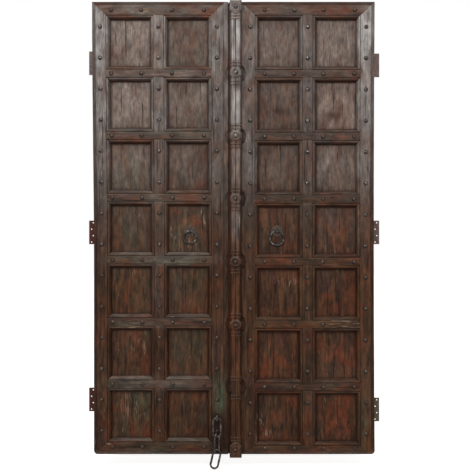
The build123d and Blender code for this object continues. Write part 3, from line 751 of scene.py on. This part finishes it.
class DOOR_OT_chain(bpy.types.Operator):
    """Chain hasp: driven staple and three long forged links"""

    bl_idname = "door.chain"
    bl_label = "Chain hasp"

    def execute(self, context):
        colours = context.scene.door_colours
        iron = forged_iron(
            "Blackened forged iron, rubbed links", colours.iron, colours.iron_rubbed, colours.iron_brown, 0.32
        )
        bm = merged("chain_staple")
        low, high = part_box("chain_staple")
        bmesh.ops.scale(bm, vec=(1.6, 1, 1), space=Matrix.Translation(-(low + high) / 2), verts=bm.verts)
        ease(bm, 0.0022, segments=3)
        finish_piece(bm, "chain_staple_forged", "left_leaf", iron, ["chain_staple"])
        link_length, link_width, bar, steps, hammering = 0.088, 0.041, 0.009, 24, 0.0005
        straight = link_length - link_width
        links = {
            "chain_link_1": ("upper_link", Matrix.Identity(4)),
            "chain_link_2": ("middle_link", Matrix.Rotation(math.radians(56), 4, "Z")),
            "chain_link_3": ("lower_link", Matrix.Rotation(math.radians(12.6), 4, "Y")),
        }
        for node, (body, tilt) in links.items():
            low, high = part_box(node)
            bm = bmesh.new()
            # A ring whose seams straddle its waist is drawn out into a link with straight sides
            start = Matrix.Translation(((link_width - bar) / 2, 0, 0))
            profile = bmesh.ops.create_circle(bm, segments=14, radius=bar / 2, matrix=start)["verts"]
            half_step = Matrix.Rotation(math.pi / steps, 3, "Y")
            bmesh.ops.rotate(bm, verts=profile, cent=(0, 0, 0), matrix=half_step)
            turn(bm, profile, (0, 0, 0), steps)
            for v in bm.verts:
                v.co.z += math.copysign(straight / 2, v.co.z)
            sides = [e for e in bm.edges if e.calc_length() > straight / 2]
            bmesh.ops.subdivide_edges(bm, edges=sides, cuts=5, use_grid_fill=True)
            bmesh.ops.recalc_face_normals(bm, faces=bm.faces)
            bmesh.ops.transform(bm, verts=bm.verts, matrix=Matrix.Translation((low + high) / 2) @ tilt)
            for v in bm.verts:
                v.co += hammering * noise.noise_vector(v.co * 80)
            finish_piece(bm, f"{node}_forged", body, iron, [node], angle=60)
        return {"FINISHED"}


class DOOR_OT_hinges(bpy.types.Operator):
    """Rusted butt hinges with round knuckles, pins and slotted screws"""

    bl_idname = "door.hinges"
    bl_label = "Hinges"

    def cut_slot(self, bm, head, spot):
        """Sink a driver's slot into the cap of a screw head"""
        half_width, depth = 0.0005, 0.0005
        for edge in (-half_width, half_width):
            cut = bmesh.ops.bisect_plane(
                bm, geom=head + edges_of(head) + faces_of(head), dist=1e-7,
                plane_co=spot + Vector((0, 0, edge)), plane_no=(0, 0, 1),
            )
            new = [g for g in cut["geom"] if isinstance(g, bmesh.types.BMVert)]
            head = list(dict.fromkeys([v for v in head if v.is_valid] + new))
        strip = [
            face for face in faces_of(head)
            if face.normal.y > 0.9 and abs(face.calc_center_median().z - spot.z) < 0.8 * half_width
        ]
        bmesh.ops.inset_region(bm, faces=strip, thickness=0.00002, depth=-depth)

    def execute(self, context):
        sizes, colours = context.scene.door_sizes, context.scene.door_colours
        rust = forged_iron(
            "Pressed iron, rusted brown", colours.plate, colours.plate_dark, colours.plate_red, 0.6, 0.15,
            colours.plate_olive,
        )
        knuckle_radius, knuckle_gap = 0.0055, 0.0006
        holes, hole_pitch, hole_reach, hole_stagger = 4, 0.0276, 0.0153, 0.0072
        head_place, head_lift = 0.0025, 0.0009
        stump_place, stump_depth, stump_radius = 0.001, 0.001, 0.0026
        for side in SIDES:
            pins_low, pins_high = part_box(f"{side}_hinge_pins")
            axis = (pins_low + pins_high) / 2
            for half, body in (("jamb", "jamb_plates"), ("door", f"{side}_leaf")):
                node = f"{side}_{half}_plates"
                bm = merged(node)
                solids = [(low.z, high.z) for low, high in solid_boxes(node)]
                ease(bm, 0.0003, segments=1)
                for low, high in solids:
                    third = (high - low) / 3
                    for index in ((0, 2) if half == "jamb" else (1,)):
                        bmesh.ops.create_cone(
                            bm, cap_ends=True, segments=28, radius1=knuckle_radius, radius2=knuckle_radius,
                            depth=third - knuckle_gap,
                            matrix=Matrix.Translation((axis.x, axis.y, low + third * (index + 0.5))),
                        )
                    inward = 1 if side == "left" else -1
                    for k in range(holes):
                        reach = hole_reach + hole_stagger * ((k + (side == "right")) % 2)
                        height = (low + high) / 2 + ((holes - 1) / 2 - k) * hole_pitch
                        if half == "jamb" and height > 0.5:
                            # Stumps of old screws stop the holes of the top plates
                            spot = Matrix.Translation((axis.x - inward * reach, stump_place, height))
                            bmesh.ops.create_cone(
                                bm, cap_ends=True, segments=12, radius1=stump_radius, radius2=stump_radius,
                                depth=stump_depth, matrix=spot @ Matrix.Rotation(math.pi / 2, 4, "X"),
                            )
                        elif half == "door":
                            spot = Vector((axis.x + inward * reach, head_place, height))
                            head = bmesh.ops.create_cone(
                                bm, cap_ends=True, segments=16, radius1=sizes.screw_radius,
                                radius2=sizes.screw_radius * 0.8, depth=head_lift,
                                matrix=Matrix.Translation(spot) @ Matrix.Rotation(-math.pi / 2, 4, "X"),
                            )["verts"]
                            self.cut_slot(bm, head, spot)
                piece = finish_piece(bm, f"{node}_rusted", body, rust, [node])
                redder = 1.0 if side == "left" else 0.15
                paint(piece, "rust", lambda point, _: redder * smooth(0.6, -0.1, point.z))
                paint(piece, "bloom", lambda point, _: 0.9 * (side == "right" and point.z < -0.5))
            pins = frame["nodes"][f"{side}_hinge_pins"]
            pins.data.materials.clear()
            pins.data.materials.append(rust)
        return {"FINISHED"}


class DOOR_OT_stage(bpy.types.Operator):
    """Pale floor, soft studio light and the camera"""

    bl_idname = "door.stage"
    bl_label = "Stage"

    def execute(self, context):
        scene = context.scene
        scene.view_settings.view_transform = "Standard"
        material, tree, output = blank_material("Matt painted studio floor")
        rays = add(tree, "ShaderNodeLightPath").outputs
        seen = math_of(tree, "MULTIPLY", rays["Is Camera Ray"], 0.7)
        shader = add(tree, "ShaderNodeBsdfPrincipled", {
            "Base Color": linear(scene.door_colours.floor), "Roughness": 0.9, "Specular IOR Level": 0.0,
            "Emission Color": (1, 1, 1, 1), "Emission Strength": seen})
        tree.links.new(shader.outputs[0], output.inputs["Surface"])
        bm = bmesh.new()
        floor_gap = 0.004
        under = Matrix.Translation((0, 0, cad_box[0][2] - floor_gap))
        bmesh.ops.create_grid(bm, x_segments=1, y_segments=1, size=20, matrix=under)
        mesh = bpy.data.meshes.new("studio_floor")
        bm.to_mesh(mesh)
        bm.free()
        mesh.materials.append(material)
        floor = bpy.data.objects.new("studio_floor", mesh)
        scene.collection.objects.link(floor)

        world = bpy.data.worlds.new("Studio")
        world.use_nodes = True
        scene.world = world
        tree = world.node_tree
        tree.nodes.clear()
        rays = add(tree, "ShaderNodeLightPath").outputs
        seen = math_of(tree, "MAXIMUM", rays["Is Camera Ray"], rays["Is Glossy Ray"])
        shown = math_of(tree, "MAXIMUM", seen, rays["Is Transmission Ray"])
        strength = level(tree, shown, 0.0, 1.0, 0.42, 1.0)
        sky = add(tree, "ShaderNodeBackground", {"Color": (1, 1, 1, 1), "Strength": strength})
        add(tree, "ShaderNodeOutputWorld", {"Surface": sky.outputs[0]})

        for name, place, target, size, power in (
            ("left_softbox", (-1.5, -3.1, 2.1), (-0.1, 0.0, 0.3), (1.0, 1.5), 62),
            ("right_softbox", (1.35, -3.2, 2.1), (0.1, 0.0, 0.3), (1.0, 1.5), 46),
            ("top_softbox", (-0.4, -1.2, 2.9), (0.0, 0.0, -0.3), (1.6, 0.7), 22),
        ):
            lamp = bpy.data.lights.new(name, "AREA")
            lamp.shape = "RECTANGLE"
            lamp.size, lamp.size_y = size
            lamp.energy = power
            light = bpy.data.objects.new(name, lamp)
            light.location = place
            light.rotation_euler = (Vector(target) - Vector(place)).to_track_quat("-Z", "Y").to_euler()
            scene.collection.objects.link(light)

        lens = bpy.data.cameras.new("photo_camera")
        view_width, view_middle, distance, height = 1.9975, -0.0253, 3.6, -0.05
        lens.sensor_fit = "HORIZONTAL"
        lens.sensor_width = 36
        lens.lens = lens.sensor_width * distance / view_width
        lens.shift_y = (view_middle - height) / view_width
        camera = bpy.data.objects.new("photo_camera", lens)
        camera.location = (0, FRONT - distance, height)
        camera.rotation_euler = (math.pi / 2, 0, 0)
        scene.collection.objects.link(camera)
        scene.camera = camera
        return {"FINISHED"}


OPERATORS = (
    DOOR_OT_stage,
    DOOR_OT_frame_members,
    DOOR_OT_panels,
    DOOR_OT_astragal,
    DOOR_OT_studs,
    DOOR_OT_ring_pulls,
    DOOR_OT_chain,
    DOOR_OT_hinges,
)


class DOOR_PT_sidebar(bpy.types.Panel):
    """Sizes, colours and steps of the door"""

    bl_idname = "DOOR_PT_sidebar"
    bl_label = "Door"
    bl_space_type = "VIEW_3D"
    bl_region_type = "UI"
    bl_category = "Door"

    def draw(self, context):
        for group in (context.scene.door_sizes, context.scene.door_colours):
            for key in group.__annotations__:
                self.layout.prop(group, key)
        for operator in OPERATORS:
            self.layout.operator(operator.bl_idname)


CLASSES = (DoorSizes, DoorColours, *OPERATORS, DOOR_PT_sidebar)


def register():
    # Without a seed of its own the noise starts from the clock and differs on each run
    noise.seed_set(19)
    for cls in CLASSES:
        bpy.utils.register_class(cls)
    bpy.types.Scene.door_sizes = bpy.props.PointerProperty(type=DoorSizes)
    bpy.types.Scene.door_colours = bpy.props.PointerProperty(type=DoorColours)


def unregister():
    del bpy.types.Scene.door_colours
    del bpy.types.Scene.door_sizes
    for cls in reversed(CLASSES):
        bpy.utils.unregister_class(cls)


def main():
    register()
    for operator in OPERATORS:
        group, name = operator.bl_idname.split(".")
        getattr(getattr(bpy.ops, group), name)()


if __name__ == "__main__":
    main()
